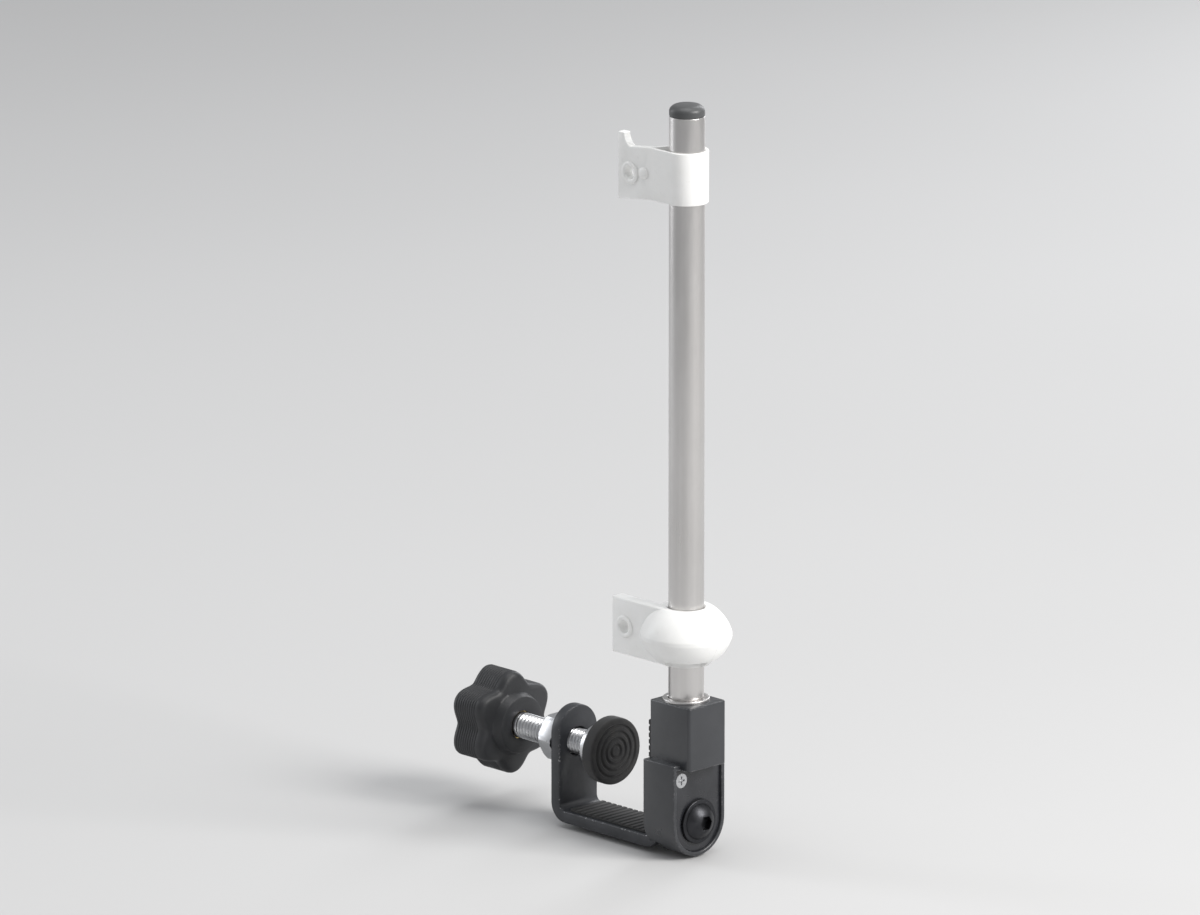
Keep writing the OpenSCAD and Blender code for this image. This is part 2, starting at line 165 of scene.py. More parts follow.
def moulded(name, dark, light, rough, grain_mm, grain_depth_mm, coat, scuff):
    """Moulded plastic: spark-eroded grain, slow colour drift, handling marks on the edges."""
    look = Look(name, Coat_Weight=coat, Coat_Roughness=0.25, IOR=1.5)
    drift = look.span(look.noise(9, detail=3, roughness=0.5), 0, 1, *NOISE)
    marks = look.edge(0.7, lo=0.5, hi=0.72)
    look.feed("Base Color", look.mix(marks, look.mix(drift, dark, light), scuff))
    handled = look.noise(3.5, detail=5, roughness=0.6)
    look.feed("Roughness", look.span(handled, rough - 0.07, rough + 0.1, *NOISE))
    grain = look.noise(grain_mm, detail=3, roughness=0.6)
    skin = look.bump(grain, grain_depth_mm, strength=0.6)
    waves = look.noise(4, detail=2, roughness=0.5)
    look.feed("Normal", look.bump(waves, depth_mm=0.02, strength=0.35, under=skin))
    return look.mat


def plated(name, dark, light, rough):
    """Bare or plated metal: soft tone drift, fine tool marks across the Y axis, duller patches."""
    look = Look(name, Metallic=1.0)
    cloud = look.span(look.noise(3.5), 0, 0.7, *NOISE)
    spangle = look.math("MULTIPLY_ADD", look.cells(0.9), 0.3, cloud)
    look.feed("Base Color", look.mix(spangle, dark, light))
    marks = look.noise(0.12, detail=3, stretch=(0.2, 1, 0.2))
    patches = look.noise(1.8, roughness=0.6)
    dull = look.span(patches, rough - 0.04, rough + 0.1, from_lo=0.35, from_hi=0.7)
    look.feed("Roughness", look.math("MULTIPLY_ADD", marks, 0.06, dull))
    look.feed("Normal", look.bump(marks, depth_mm=0.0012, strength=0.5))
    return look.mat


def drawn_tube():
    """Satin tube: hair-fine draw lines along Z and a soft warm-grey tone."""
    look = Look("tube_satin", Metallic=1.0, Anisotropic=0.35)
    lines = look.noise(0.28, detail=5, roughness=0.62, stretch=(1, 1, 0.012))
    bands = look.noise(1.9, detail=2, roughness=0.5, stretch=(1, 1, 0.02))
    smear = look.noise(14, roughness=0.6, stretch=(1, 1, 0.35))
    tone = look.math("MULTIPLY_ADD", bands, 0.55, look.span(smear, 0, 0.45, *NOISE))
    look.feed("Base Color", look.mix(tone, (0.52, 0.507, 0.497), (0.75, 0.736, 0.726)))
    rough = look.math("MULTIPLY_ADD", lines, 0.16, look.span(smear, 0.2, 0.34, *NOISE))
    look.feed("Roughness", rough)
    look.feed("Normal", look.bump(lines, depth_mm=0.006, strength=0.55))
    return look.mat


def powder_coat():
    """Black powder coat: orange peel, and steel showing where the edges rub."""
    look = Look("bracket_coat", IOR=1.5)
    worn = look.edge(0.8, lo=0.58, hi=0.64)
    drift = look.span(look.noise(6, detail=3), 0, 1, *NOISE)
    paint = look.mix(drift, (0.024, 0.026, 0.03), (0.042, 0.044, 0.05))
    look.feed("Base Color", look.mix(worn, paint, (0.3, 0.3, 0.31)))
    look.feed("Metallic", worn)
    look.feed("Roughness", look.span(look.noise(2.5), 0.34, 0.5, *NOISE))
    peel = look.noise(0.9, detail=2, roughness=0.4)
    skin = look.bump(peel, depth_mm=0.03, strength=0.55)
    powder = look.noise(0.16, detail=2, roughness=0.5)
    look.feed("Normal", look.bump(powder, depth_mm=0.006, strength=0.4, under=skin))
    return look.mat


def rubber():
    """Matt rubber: dusty bloom in patches and a fine pitted skin."""
    look = Look("rubber_matt", IOR=1.45, Sheen_Weight=0.12, Sheen_Roughness=0.5)
    bloom = look.span(look.noise(2.2, detail=6, roughness=0.7), 0, 1, from_lo=0.42, from_hi=0.72)
    look.feed("Base Color", look.mix(bloom, (0.012, 0.012, 0.013), (0.036, 0.035, 0.034)))
    look.feed("Roughness", look.span(bloom, 0.62, 0.88))
    pits = look.noise(0.22, roughness=0.7)
    skin = look.bump(pits, depth_mm=0.018, strength=0.7)
    waves = look.noise(1.3, detail=3, roughness=0.5)
    look.feed("Normal", look.bump(waves, depth_mm=0.03, strength=0.3, under=skin))
    return look.mat


def white_moulding():
    """White plastic: faint warm and cool drift, soft scuffs, a satin skin."""
    look = Look(
        "clip_white", IOR=1.47, Subsurface_Weight=0.08, Subsurface_Scale=0.0006,
        Subsurface_Radius=(1.0, 0.95, 0.9),
    )
    drift = look.span(look.noise(7, detail=3), 0, 1, *NOISE)
    base = look.mix(drift, (0.86, 0.86, 0.845), (0.91, 0.91, 0.9))
    grime = look.span(look.noise(1.1, detail=6, roughness=0.7), 0, 0.3, from_lo=0.6, from_hi=0.78)
    look.feed("Base Color", look.mix(grime, base, (0.6, 0.585, 0.55)))
    look.feed("Roughness", look.span(look.noise(2.4, detail=5, roughness=0.65), 0.3, 0.48, *NOISE))
    grain = look.noise(0.25, detail=3, roughness=0.6)
    skin = look.bump(grain, depth_mm=0.006, strength=0.5)
    waves = look.bump(look.noise(3, detail=2), depth_mm=0.03, strength=0.3, under=skin)
    look.feed("Normal", look.seam(width_mm=0.12, depth_mm=0.06, under=waves))
    return look.mat


def paper_floor():
    """Pale studio paper."""
    look = Look("studio_paper", Roughness=0.9)
    tone = look.span(look.noise(400, detail=2), 0, 1, *NOISE)
    look.feed("Base Color", look.mix(tone, (0.52, 0.52, 0.52), (0.54, 0.54, 0.54)))
    return look.mat


LOOKS = {
    "block_plastic": moulded(
        "block_grey", dark=(0.025, 0.027, 0.031), light=(0.037, 0.039, 0.044), rough=0.34,
        grain_mm=0.22, grain_depth_mm=0.01, coat=0.25, scuff=(0.12, 0.12, 0.125),
    ),
    "cover_plastic": moulded(
        "cover_black", dark=(0.013, 0.014, 0.017), light=(0.024, 0.025, 0.03), rough=0.3,
        grain_mm=0.18, grain_depth_mm=0.008, coat=0.25, scuff=(0.05, 0.05, 0.055),
    ),
    "cap_plastic": moulded(
        "cap_grey", dark=(0.06, 0.062, 0.064), light=(0.082, 0.084, 0.085), rough=0.42,
        grain_mm=0.2, grain_depth_mm=0.01, coat=0.1, scuff=(0.15, 0.15, 0.15),
    ),
    "knob_plastic": moulded(
        "knob_black", dark=(0.014, 0.015, 0.017), light=(0.028, 0.029, 0.032), rough=0.46,
        grain_mm=0.3, grain_depth_mm=0.03, coat=0.0, scuff=(0.06, 0.06, 0.062),
    ),
    "white_plastic": white_moulding(),
    "tube_metal": drawn_tube(),
    "bracket_paint": powder_coat(),
    "black_steel": plated("oxide_black", (0.035, 0.036, 0.04), (0.062, 0.063, 0.068), 0.36),
    "zinc_steel": plated("zinc_bright", (0.5, 0.505, 0.52), (0.62, 0.625, 0.635), 0.27),
    "rubber": rubber(),
    "brass": plated("brass_turned", (0.55, 0.4, 0.16), (0.75, 0.58, 0.28), 0.26),
}


# ---------------------------------------------------------------- meshes

# Lengths are in mm from here to the studio; the meshes themselves are in metres.
WELD = 0.002  # points closer together than this are one point
CORE = 0.02  # a turned solid's radius at its ends, in place of a point on the axis
CRISP = 0.02  # corner radius of an edge that looks sharp

# For each axis: the direction at angle 0, the direction at 90 degrees, and the axis itself.
AXES = {
    "X": (Vector((0, 1, 0)), Vector((0, 0, 1)), Vector((1, 0, 0))),
    "Y": (Vector((0, 0, 1)), Vector((1, 0, 0)), Vector((0, 1, 0))),
    "Z": (Vector((1, 0, 0)), Vector((0, 1, 0)), Vector((0, 0, 1))),
}


def size(node):
    """A node's lowest and highest corner."""
    lo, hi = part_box(node)
    return lo / MM, hi / MM


def linked(name, bm):
    """A bmesh as an object in the scene. The bmesh is freed."""
    mesh = bpy.data.meshes.new(name)
    bm.to_mesh(mesh)
    bm.free()
    obj = bpy.data.objects.new(name, mesh)
    SCENE.collection.objects.link(obj)
    return obj


def piece(name, bm, body, slot, replaces=(), sharp=32):
    """A finished mesh as an object that rides on a body; edges over sharp degrees shade crisp."""
    bm.normal_update()
    for face in bm.faces:
        face.smooth = True
    for edge in bm.edges:
        if len(edge.link_faces) == 2:
            edge.smooth = edge.calc_face_angle(0) < math.radians(sharp)
    obj = linked(name, bm)
    obj.data.materials.append(LOOKS[slot])
    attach(obj, body)
    if replaces:
        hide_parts(*replaces)


def small_faced(bm):
    """bm with every face of more than four corners cut into triangles."""
    bmesh.ops.triangulate(bm, faces=[f for f in bm.faces if len(f.verts) > 4])
    return bm


def soften(bm, width, segments=3, sharp=30):
    """Rounds the sharp outer edges and marks the rounds in the edge attribute."""
    layer = bm.faces.layers.float.get("edge") or bm.faces.layers.float.new("edge")
    edges = [
        e
        for e in bm.edges
        if len(e.link_faces) == 2 and e.is_convex and e.calc_face_angle(0) > math.radians(sharp)
    ]
    made = bmesh.ops.bevel(
        bm, geom=edges, offset=width * MM, offset_type="OFFSET", segments=segments,
        profile=0.5, affect="EDGES", clamp_overlap=False,
    )
    for face in made["faces"]:
        face[layer] = 1.0
    return small_faced(bm)


def merged(bm):
    """bm with doubled points and the lines across its flat faces taken out."""
    bmesh.ops.remove_doubles(bm, verts=bm.verts, dist=WELD * MM)
    bmesh.ops.dissolve_limit(
        bm, angle_limit=math.radians(0.5), verts=bm.verts, edges=bm.edges, delimit=set()
    )
    bmesh.ops.connect_verts_concave(bm, faces=bm.faces)
    return bm


def from_cad(node, width, segments=3, sharp=30):
    """A CAD node's shape as clean faces with rounded edges."""
    bm = bmesh.new()
    bm.from_mesh(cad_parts[node].data)
    return soften(merged(bm), width, segments, sharp)


def skin(rows, closed=False):
    """A closed surface over rows of points. closed joins the last row to the first."""
    bm = bmesh.new()
    rows = [[bm.verts.new(point * MM) for point in row] for row in rows]
    pairs = list(zip(rows, rows[1:]))
    if closed:
        pairs.append((rows[-1], rows[0]))
    count = len(rows[0])
    for low, high in pairs:
        for i in range(count):
            j = (i + 1) % count
            bm.faces.new((low[i], low[j], high[j], high[i]))
    if not closed:
        bm.faces.new(list(reversed(rows[0])))
        bm.faces.new(rows[-1])
    bmesh.ops.recalc_face_normals(bm, faces=bm.faces)
    return bm


def loft(rings, centre, axis, steps, closed=False):
    """A skin over rings of (radius, height). A radius may be a function of the angle."""
    u, v, w = AXES[axis]
    rows = []
    for radius, height in rings:
        row = []
        for i in range(steps):
            angle = 2 * math.pi * i / steps
            r = radius(angle) if callable(radius) else radius
            row.append(centre + u * (r * math.cos(angle)) + v * (r * math.sin(angle)) + w * height)
        rows.append(row)
    return skin(rows, closed)


def prism(outline, axis, lo, hi):
    """A polygon pushed along an axis."""
    u, v, w = AXES[axis]
    return skin([[u * p[0] + v * p[1] + w * h for p in outline] for h in (lo, hi)])


def rounded(points, radius):
    """A profile of (r, h) points with round corners. A third number is a corner's own radius."""
    steps, least = 4, 0.005
    out = []
    for i, p in enumerate(points):
        a, b, c = (Vector(points[(i + k) % len(points)][:2]) for k in (-1, 0, 1))
        own = p[2] if len(p) > 2 else radius
        reach = min(own, 0.45 * (a - b).length, 0.45 * (c - b).length)
        if reach < least:
            out.append(tuple(b))
            continue
        start = b + (a - b).normalized() * reach
        end = b + (c - b).normalized() * reach
        for k in range(steps + 1):
            t = k / steps
            q = start * (1 - t) ** 2 + b * (2 * t * (1 - t)) + end * t ** 2
            out.append((q.x, q.y))
    return out


def turned(points, centre, axis, steps, radius=0.1):
    """A ring of revolution from a closed profile, corners rounded."""
    return loft(rounded(points, radius), centre, axis, steps, closed=True)


def turned_solid(points, centre, axis, steps, radius=0.1):
    """A solid of revolution from a profile that runs from one end face to the other."""
    profile = [(CORE, points[0][1], 0), *points, (CORE, points[-1][1], 0)]
    return loft(rounded(profile, radius), centre, axis, steps)


def rod(radius, start, end, centre):
    """A plain round cutter along X."""
    return turned_solid([(radius, start), (radius, end)], centre, "X", 48, 0)


def mirrored(upper):
    """A profile's upper half, led by its mirror image below height 0."""
    return [(r, -height, corner) for r, height, corner in reversed(upper)] + upper


def ribs(start, end, pitch, depth, face):
    """Points of a ribbed edge from start to end; crests lie on face, grooves depth behind it."""
    # For each point of one rib, its share of the pitch and of the depth.
    shape = ((0.12, 0.35), (0.2, 0.0), (0.72, 0.0), (0.8, 0.35), (0.9, 1.0), (1.0, 1.0))
    count = max(2, round(abs(end - start) / pitch))
    step = (end - start) / count
    return [
        (start + i * step + share * step, face - drop * depth)
        for i in range(count)
        for share, drop in shape
    ]


def carved(bm, other, how="DIFFERENCE"):
    """bm less the solid other, or with it when how is UNION."""
    base = linked("carving", bm)
    tool = linked("carving", other)
    cut = base.modifiers.new("cut", "BOOLEAN")
    cut.operation, cut.solver, cut.object = how, "EXACT", tool
    bpy.context.view_layer.update()
    result = bmesh.new()
    result.from_mesh(base.evaluated_get(bpy.context.evaluated_depsgraph_get()).data)
    bmesh.ops.remove_doubles(result, verts=result.verts, dist=WELD * MM)
    for obj in (base, tool):
        mesh = obj.data
        bpy.data.objects.remove(obj)
        bpy.data.meshes.remove(mesh)
    return result


def with_faces(bm, other):
    """bm with the faces of other added, not joined."""
    mesh = bpy.data.meshes.new("part")
    other.to_mesh(mesh)
    other.free()
    bm.from_mesh(mesh)
    bpy.data.meshes.remove(mesh)
    return bm


# ---------------------------------------------------------------- pieces shaped by the CAD

# Each node's body, material slot, edge radius and edge segments.
SOFTENED = {
    "body_shell": ("clamp_body", "block_plastic", 0.3, 3),
    "front_cover": ("clamp_body", "cover_plastic", 0.2, 3),
    "cover_screw": ("clamp_body", "zinc_steel", 0.05, 2),
    "jaw_bracket": ("clamp_body", "bracket_paint", 0.35, 3),
    "bracket_bolt": ("clamp_body", "black_steel", 0.12, 3),
    "swivel_pad": ("screw_foot", "zinc_steel", 0.2, 3),
    "pad_retaining_clip": ("screw_foot", "black_steel", 0.06, 2),
    "knob_insert": ("screw_spindle", "brass", 0.12, 2),
    "knob_set_screw": ("screw_spindle", "black_steel", 0.08, 2),
    "weld_nut": ("clamp_body", "zinc_steel", 0.12, 3),
    "upper_net_strap": ("upper_clip", "white_plastic", 0.22, 3),
    "collar_set_screw": ("lower_clip", "zinc_steel", 0.08, 2),
}
for node, (body, slot, width, segments) in SOFTENED.items():
    piece(node + "_v", from_cad(node, width, segments), body, slot, [node])


# ---------------------------------------------------------------- socket block and bracket

POST_LO, POST_HI = size("post_tube")
POST = Vector((0, (POST_LO.y + POST_HI.y) / 2, 0))
POST_R = (POST_HI.x - POST_LO.x) / 2
POST_BORE_R = POST_R - 0.8
RUN = 0.05  # clearance between the post and what it runs in


def washer():
    """The flat washer under the bracket's bolt."""
    lo, hi = size("bracket_washer")
    centre = Vector((0, 0, (lo.z + hi.z) / 2))
    outer, bore = (hi.z - lo.z) / 2, 2.7
    profile = [(bore, lo.y), (outer, lo.y, 0.3), (outer, hi.y), (bore, hi.y)]
    return turned(profile, centre, "Y", 72)


def ferrule():
    """The flanged sleeve that lines the mouth of the socket."""
    lo, hi = size("socket_ferrule")
    bore, flange_r = POST_R + RUN, (hi.x - lo.x) / 2
    sleeve_r, seat = flange_r - 0.6, hi.z - 0.6
    profile = [(bore, lo.z), (sleeve_r, lo.z), (sleeve_r, seat, CRISP),
               (flange_r, seat, CRISP), (flange_r, hi.z, 0.3), (bore, hi.z, 0.3)]
    return turned(profile, POST, "Z", 96)


def outer_pad():
    """The rubber facing on the outer jaw, ribbed across."""
    lo, hi = size("outer_jaw_pad")
    root = hi.y - 0.3
    outline = [(root, lo.z), (lo.y, lo.z), (lo.y, hi.z), (root, hi.z)]
    outline += [(face, z) for z, face in ribs(hi.z, lo.z, 1.5, 0.32, hi.y)]
    return soften(prism(outline, "X", lo.x, hi.x), 0.12, 2, 60)


def saddle():
    """The ribbed rubber strip on the bracket's floor, with two keys that plug into it."""
    lo, hi = size("saddle_pad")
    underside = hi.z - 0.7
    key_r, key_overlap = 1.5, 0.1
    outline = [(lo.y, underside), (hi.y, underside), *ribs(hi.y, lo.y, 1.7, 0.3, hi.z)]
    bm = soften(prism(outline, "X", lo.x, hi.x), 0.12, 2, 60)
    for y in (6, 20):
        profile = [(key_r, lo.z), (key_r, underside + key_overlap)]
        bm = with_faces(bm, turned_solid(profile, Vector((0, y, 0)), "Z", 32))
    return bm


def weld_bead():
    """A run of small overlapping puddles round the nut's foot, on the arm."""
    lo, hi = size("weld_nut")
    flats = (hi.z - lo.z) / 2
    steps, around, puddles = 168, 8, 28
    gap, thin, swell, drift, corner = 0.12, 0.42, 0.12, 0.05, 1.1
    rows = []
    for i in range(steps):
        angle = 2 * math.pi * i / steps
        off_flat = (angle + math.pi / 6) % (math.pi / 3) - math.pi / 6
        reach = min(flats / math.cos(off_flat), flats * corner) + gap
        puddle = abs(math.sin(angle * puddles / 2)) ** 0.6
        fat = thin + swell * puddle + drift * math.sin(angle * 3 + 1)
        row = []
        for k in range(around):
            turn = 2 * math.pi * k / around
            out = reach + fat * math.cos(turn)
            up = lo.y + max(0.0, fat * math.sin(turn))
            row.append(Vector((out * math.sin(angle), up, out * math.cos(angle))))
        rows.append(row)
    return skin(rows, closed=True)


piece("washer_v", washer(), "clamp_body", "black_steel", ["bracket_washer"])
piece("ferrule_v", ferrule(), "clamp_body", "tube_metal", ["socket_ferrule"])
piece("outer_pad_v", outer_pad(), "clamp_body", "rubber", ["outer_jaw_pad"])
piece("saddle_pad_v", saddle(), "clamp_body", "rubber", ["saddle_pad"])
piece("weld_bead_v", weld_bead(), "clamp_body", "black_steel", sharp=60)


# ---------------------------------------------------------------- post


def post_tube():
    """The drawn tube, its ends broken outside."""
    profile = [(POST_BORE_R, POST_LO.z), (POST_R, POST_LO.z, 0.2),
               (POST_R, POST_HI.z, 0.2), (POST_BORE_R, POST_HI.z)]
    return turned(profile, POST, "Z", 128)


def post_cap():
    """The push-in cap: a plug inside the tube and a low dome on its rim."""
    lo, hi = size("post_top_cap")
    rim = POST_HI.z
    profile = [(POST_BORE_R - 0.4, lo.z), (POST_BORE_R, lo.z + 0.6), (POST_BORE_R, rim, CRISP),
               (POST_R - 0.15, rim, 0.05), (POST_R, rim + 0.2, 0.1), (POST_R, hi.z - 1.1, 0.5),
               (POST_R - 1.0, hi.z - 0.2, 0.6), (1.2, hi.z, 0.8)]
    return turned_solid(profile, POST, "Z", 96)


piece("post_tube_v", post_tube(), "net_post", "tube_metal", ["post_tube"])
piece("post_cap_v", post_cap(), "net_post", "cap_plastic", ["post_top_cap"])
piece("foot_plug_v", from_cad("post_foot_plug", 0.1, 2), "net_post", "cover_plastic", ["post_foot_plug"])
piece("o_ring_v", from_cad("foot_o_ring", 0.02, 1, 60), "net_post", "rubber", ["foot_o_ring"])


# ---------------------------------------------------------------- clamp screw

SCREW = Vector((0, 0, 0))  # a point on the screw's axis, which runs along Y
KNOB_LO, KNOB_HI = size("screw_knob")
KNOB_R = (KNOB_HI.z - KNOB_LO.z) / 2


def foot_rubber():
    """The rubber cup round the foot, with four round grooves in its face."""
    lo, hi = size("swivel_pad_rubber")
    face, back, foot_r = lo.y, hi.y, (hi.z - lo.z) / 2
    recess, metal_r = face + 1.5, size("swivel_pad")[1].z
    groove_y, soft = face + 0.35, 0.1
    profile = [(CORE, recess, 0), (metal_r, recess), (metal_r, back), (foot_r, back),
               (foot_r, face, 0.6)]
    for r in (6.4, 4.9, 3.4, 1.9):
        profile += [(r, face, soft), (r - 0.25, groove_y, soft), (r - 0.6, groove_y, soft),
                    (r - 0.85, face, soft)]
    profile.append((CORE, face, 0))
    return loft(rounded(profile, 0.15), SCREW, "Y", 96)


def thread_radius(y, start, end, crest):
    """Radius of a right-hand thread at y, as a function of the angle; it runs out at both ends."""
    pitch, depth, run_out = 1.0, 0.56, 1.2
    half_crest, flank = 0.07, 0.36
    fade = max(0.0, min(1.0, (y - start) / run_out, (end - y) / run_out))

    def radius(angle):
        phase = (y / pitch - angle / (2 * math.pi)) % 1.0
        ramp = min(1.0, max(0.0, (abs(phase - 0.5) - half_crest) / flank))
        return crest - depth * fade * ramp

    return radius


def clamp_screw():
    """A button for the foot, a neck, the thread and a plain end inside the knob."""
    lo, hi = size("clamp_screw")
    screw_r = (hi.z - lo.z) / 2
    crest = screw_r - 0.02
    start, end, step = lo.y + 4.2, 46.0, 0.1
    # Radii with their distance from the button's face.
    button = [(CORE, 0), (2.2, 0), (2.5, 0.3), (2.5, 1.7), (2.2, 2.0), (1.62, 2.05), (1.6, 3.7),
              (1.7, 3.8), (2.35, 3.8), (2.95, 4.35)]
    rings = [(r, lo.y + up) for r, up in button]
    y = lo.y + 4.5
    while y < end + step / 2:
        rings.append((thread_radius(y, start, end, crest), y))
        y += step
    rings += [(crest, end + 0.6), (screw_r, end + 1), (screw_r, hi.y - 0.4),
              (screw_r - 0.4, hi.y), (CORE, hi.y)]
    return loft(rings, SCREW, "Y", 64)


def lobed(inset, blend=1.0):
    """Radius of six soft lobes, the first straight up; blend 0 is a plain circle."""
    plain, height, sharpness = 7.4, 2.3, 0.85

    def radius(angle):
        wave = (0.5 + 0.5 * math.cos(6 * angle)) ** sharpness
        return (1 - blend) * plain + blend * (KNOB_R - height + height * wave - inset)

    return radius


def knob():
    """The knob: a hub in front, lobes with fine grip ribs, a recess for the cap at the back."""
    front, back = KNOB_LO.y, KNOB_HI.y
    rib_count, rib_pitch, rib_depth = 9, 0.72, 0.16
    # Radii with their distance behind the front face, then in front of the back face.
    hub = [(3.25, 0.15), (3.5, 0), (6.2, 0), (6.5, 0.12), (6.65, 0.4), (7.15, 1.6), (7.35, 1.9),
           (lobed(1.9, 0.35), 2.02), (lobed(1.6), 2.1), (lobed(0.9), 2.25), (lobed(0.4), 2.6),
           (lobed(0.12), 3.1), (lobed(0.0), 3.8)]
    shoulder = [(lobed(0.0), 1.1), (lobed(0.15), 0.7), (lobed(0.5), 0.35), (lobed(1.1), 0.1),
                (lobed(1.8, 0.8), 0), (7.0, 0), (6.35, 0.02), (6.15, 0.2), (6.1, 2.0), (5.65, 2.1)]
    rings = [(radius, front + up) for radius, up in hub]
    for k in range(rib_count):
        y = front + 4.3 + k * rib_pitch
        rings += [(lobed(0.0), y), (lobed(rib_depth), y + 0.16), (lobed(rib_depth), y + 0.3),
                  (lobed(0.0), y + 0.46)]
    rings += [(radius, back - down) for radius, down in shoulder]
    rings += [(5.6, front + 1.1), (3.3, front + 1.0)]
    lo, hi = size("knob_set_screw")
    grub = Vector((0, (lo.y + hi.y) / 2, 0))
    grub_r = (hi.z - lo.z) / 2
    return carved(loft(rings, SCREW, "Y", 192, closed=True), rod(grub_r, lo.x, KNOB_R, grub))


def knob_cap():
    """The cap in the back of the knob, with one fine ring in its face."""
    lo, hi = size("knob_cap")
    groove = hi.y - 0.25
    profile = [(5.7, lo.y), (6.0, lo.y + 0.3), (6.0, KNOB_HI.y), (5.05, hi.y - 0.05, 0.3),
               (4.35, hi.y), (4.2, groove), (3.9, groove), (3.75, hi.y), (1.0, hi.y - 0.1, 1.0)]
    return turned_solid(profile, SCREW, "Y", 96)


piece("foot_rubber_v", foot_rubber(), "screw_foot", "rubber", ["swivel_pad_rubber"])
piece("clamp_screw_v", clamp_screw(), "screw_spindle", "zinc_steel", ["clamp_screw"], sharp=50)
piece("screw_knob_v", knob(), "screw_spindle", "knob_plastic", ["screw_knob"], sharp=40)
piece("knob_cap_v", knob_cap(), "screw_spindle", "cover_plastic", ["knob_cap"])


# ---------------------------------------------------------------- net clips


def across(node):
    """Centre, half width and radius of a part that lies across a clip's tail."""
    lo, hi = size(node)
    return (lo + hi) / 2, (hi.x - lo.x) / 2, (hi.z - lo.z) / 2


def eyelet(node):
    """A rolled eyelet with a curled lip on each face."""
    centre, half, lip = across(node)
    barrel, hole = lip - 0.7, 1.5
    profile = mirrored([
        (barrel, half - 0.4, CRISP), (lip - 0.1, half - 0.4, 0.05), (lip, half - 0.2, 0.2),
        (lip - 0.3, half, 0.3), (hole + 0.3, half, 0.3), (hole, half - 0.25, 0.2),
    ])
    return turned(profile, centre, "X", 56)


def rivet():
    """A plain shank with a low round head on each side."""
    centre, half, head = across("upper_rivet")
    shank, inner = 0.9, half - 0.6
    profile = mirrored([
        (shank, inner, CRISP), (head, inner, CRISP), (head, inner + 0.15, 0.15),
        (head - 0.35, half - 0.12, 0.3), (0.5, half, 0.4),
    ])
    return turned_solid(profile, centre, "X", 48)


def ring_sector(inner, outer, start, end):
    """Outline round the post between two radii; start and end give the angle at each radius."""
    steps = 8
    outline = []
    for r, ways in ((inner, range(steps + 1)), (outer, range(steps, -1, -1))):
        for k in ways:
            angle = start(r) + (end(r) - start(r)) * k / steps
            outline.append((r * math.cos(angle), POST.y + r * math.sin(angle)))
    return outline


def collar_pockets(outer, low, high, grub_axis):
    """Cutters for the hollow underside, between the ribs and clear of the grub screw's boss."""
    inner, half_rib, flat_x = 5.4, 0.7, 5.0
    boss_r, boss_x = 2.9, 4.5

    def rib(r):
        return math.asin(half_rib / r)

    sectors = [
        (lambda r: math.pi + rib(r), lambda r: 1.5 * math.pi - rib(r)),
        (lambda r: 1.5 * math.pi + rib(r), lambda r: 2 * math.pi - rib(r)),
        (rib, lambda r: math.acos(flat_x / r)),
    ]
    for start, end in sectors:
        pocket = soften(prism(ring_sector(inner, outer, start, end), "Z", low, high), 0.12, 2)
        yield carved(pocket, rod(boss_r, boss_x, outer + 4, grub_axis))


def collar_ring(lo, hi):
    """The collar's round-shouldered ring, still without its bore."""
    foot, shoulder, steps = 5.8, 6.0, 16
    rise = (hi.x ** 2 - foot ** 2 + shoulder ** 2) / (2 * shoulder)
    ball = math.hypot(foot, rise)
    flank = [(foot, lo.z, 0.3)]
    for k in range(1, steps):
        up = shoulder * k / steps
        flank.append((math.sqrt(ball ** 2 - (rise - up) ** 2), lo.z + up, 0))
    flank.append((hi.x, lo.z + shoulder, 0.4))
    flank += [(r, lo.z + hi.z - z, corner) for r, z, corner in reversed(flank)]
    return turned_solid(flank, POST, "Z", 128, 0.3)


def collar():
    """The lower clip: a ring on the post with a flat arm, cored out from below."""
    lo, hi = size("lower_net_collar")
    eye, eye_half, lip = across("lower_eyelet")
    grub, _, grub_r = across("collar_set_screw")
    arm_half, inset = eye_half - 0.4, 0.02
    bottom, top = lo.z + inset, hi.z - inset
    arm = prism(
        [(POST.y, bottom), (hi.y, bottom), (hi.y, top), (POST.y, top)], "X",
        eye.x - arm_half, eye.x + arm_half,
    )
    bm = carved(collar_ring(lo, hi), soften(arm, 0.3), "UNION")

    bore, flare = POST_R + RUN, 0.5
    bore_cut = [(bore + flare, lo.z - 0.1, 0), (bore, lo.z + 0.4), (bore, hi.z - 0.4),
                (bore + flare, hi.z + 0.1, 0)]
    bm = carved(bm, turned_solid(bore_cut, POST, "Z", 128, 0.3))
    grub_axis = Vector((0, grub.y, grub.z))
    for pocket in collar_pockets(hi.x - 2.6, lo.z - 1, hi.z - 4.4, grub_axis):
        bm = carved(bm, pocket)
    bm = carved(bm, rod(grub_r, 0, hi.x + 1, grub_axis))
    bm = carved(bm, rod(lip - 0.7, eye.x - 3, eye.x + 3, Vector((0, eye.y, eye.z))))
    return small_faced(merged(bm))


piece("upper_eyelet_v", eyelet("upper_eyelet"), "upper_clip", "white_plastic", ["upper_eyelet"])
piece("lower_eyelet_v", eyelet("lower_eyelet"), "lower_clip", "white_plastic", ["lower_eyelet"])
piece("lower_net_collar_v", collar(), "lower_clip", "white_plastic", ["lower_net_collar"])
piece("upper_rivet_v", rivet(), "upper_clip", "white_plastic", ["upper_rivet"])


# ---------------------------------------------------------------- studio

# Lengths are in metres from here on.
MIDDLE = (CAD_BOX[0] + CAD_BOX[1]) / 2


def floor():
    """A pale sheet just under the object."""
    half, z = 4.0, CAD_BOX[0].z - 0.0004
    bm = bmesh.new()
    bmesh.ops.create_grid(bm, x_segments=24, y_segments=24, size=half)
    for v in bm.verts:
        v.co.z = z
    obj = linked("floor", bm)
    obj.data.materials.append(paper_floor())


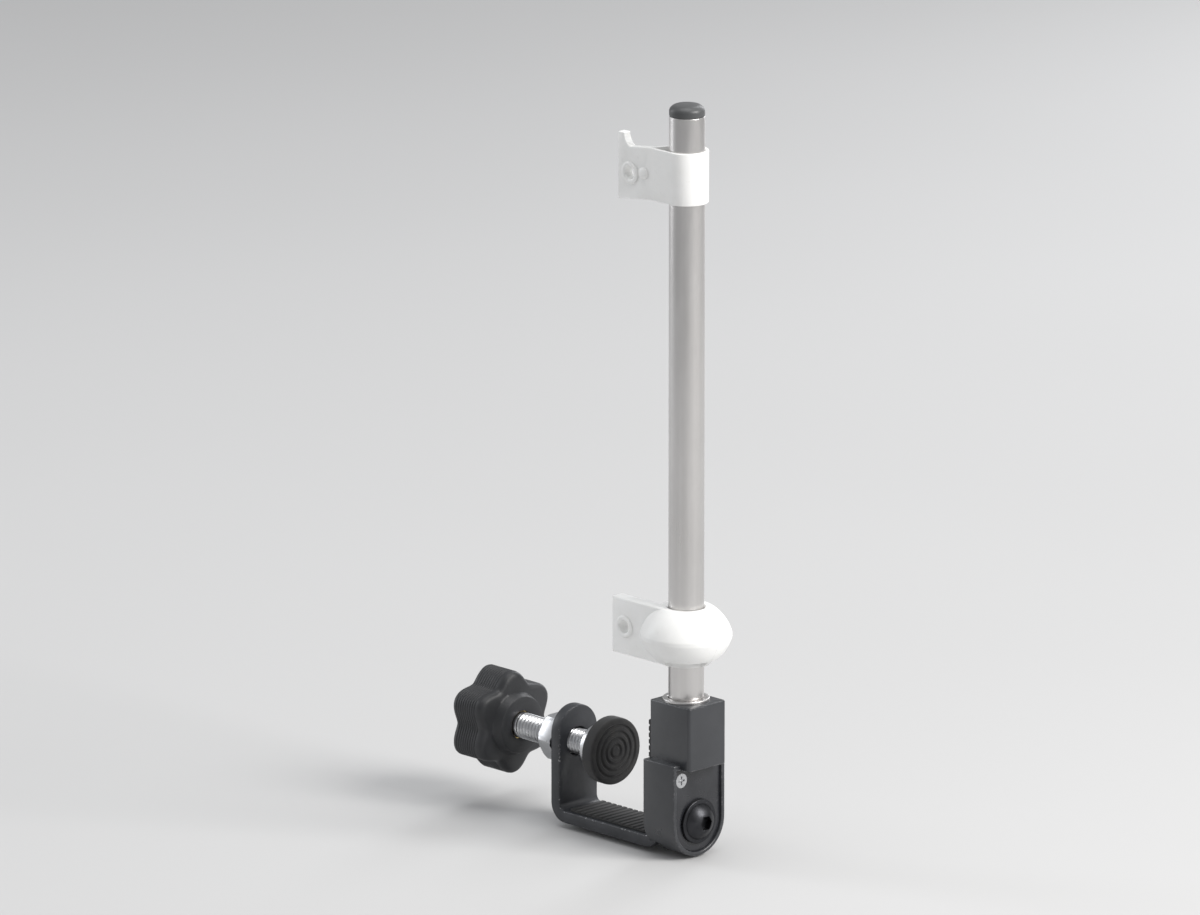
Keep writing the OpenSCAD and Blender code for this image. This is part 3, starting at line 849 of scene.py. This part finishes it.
def lamp(name, place, width, height, watts, tint=(1, 1, 1)):
    """A rectangular lamp aimed at the middle of the object."""
    light = bpy.data.lights.new(name, "AREA")
    light.shape, light.size, light.size_y = "RECTANGLE", width, height
    light.energy, light.color = watts, tint
    obj = bpy.data.objects.new(name, light)
    obj.location = place
    obj.rotation_euler = (MIDDLE - Vector(place)).to_track_quat("-Z", "Y").to_euler()
    SCENE.collection.objects.link(obj)


def sky():
    """Even, faintly cool light from all round."""
    world = bpy.data.worlds.new("studio")
    world.use_nodes = True
    background = world.node_tree.nodes["Background"]
    background.inputs["Color"].default_value = (0.93, 0.94, 0.96, 1)
    background.inputs["Strength"].default_value = 0.45
    SCENE.world = world


def camera():
    """Looks at the middle of the object's outline, whose height takes fill of the picture's."""
    azimuth, elevation, distance = math.radians(-44), math.radians(14.8), 3.1
    fill, sensor, wide, high = 0.9, 36, 1200, 915
    back = Vector((
        math.sin(azimuth) * math.cos(elevation),
        -math.cos(azimuth) * math.cos(elevation),
        math.sin(elevation),
    ))
    turn = (-back).to_track_quat("-Z", "Y")
    up = turn @ Vector((0, 1, 0))
    right = turn @ Vector((1, 0, 0))
    corners = [
        Vector((x, y, z))
        for x in (CAD_BOX[0].x, CAD_BOX[1].x)
        for y in (CAD_BOX[0].y, CAD_BOX[1].y)
        for z in (CAD_BOX[0].z, CAD_BOX[1].z)
    ]
    heights = [corner.dot(up) for corner in corners]
    widths = [corner.dot(right) for corner in corners]
    tall = max(heights) - min(heights)
    aim = MIDDLE.copy()
    aim += up * ((max(heights) + min(heights)) / 2 - MIDDLE.dot(up))
    aim += right * ((max(widths) + min(widths)) / 2 - MIDDLE.dot(right))

    data = bpy.data.cameras.new("camera")
    data.sensor_width = sensor
    data.lens = sensor * distance / (tall / fill * wide / high)
    data.clip_start, data.clip_end = 0.05, 40
    obj = bpy.data.objects.new("camera", data)
    obj.rotation_mode = "QUATERNION"
    obj.rotation_quaternion = turn
    obj.location = aim + back * distance
    SCENE.collection.objects.link(obj)
    SCENE.camera = obj


floor()
lamp("key", (0.3, -0.95, 0.75), 0.6, 0.6, 15.5, (1.0, 0.985, 0.965))
lamp("left", (-0.45, 1.0, 0.35), 0.3, 0.9, 3.2, (0.95, 0.97, 1.0))
lamp("right", (0.8, 0.3, 0.4), 0.25, 0.9, 2.5, (0.97, 0.98, 1.0))
lamp("top", (0.0, 0.0, 1.1), 0.7, 0.7, 4.2)
sky()
SCENE.view_settings.view_transform = "Standard"
camera()
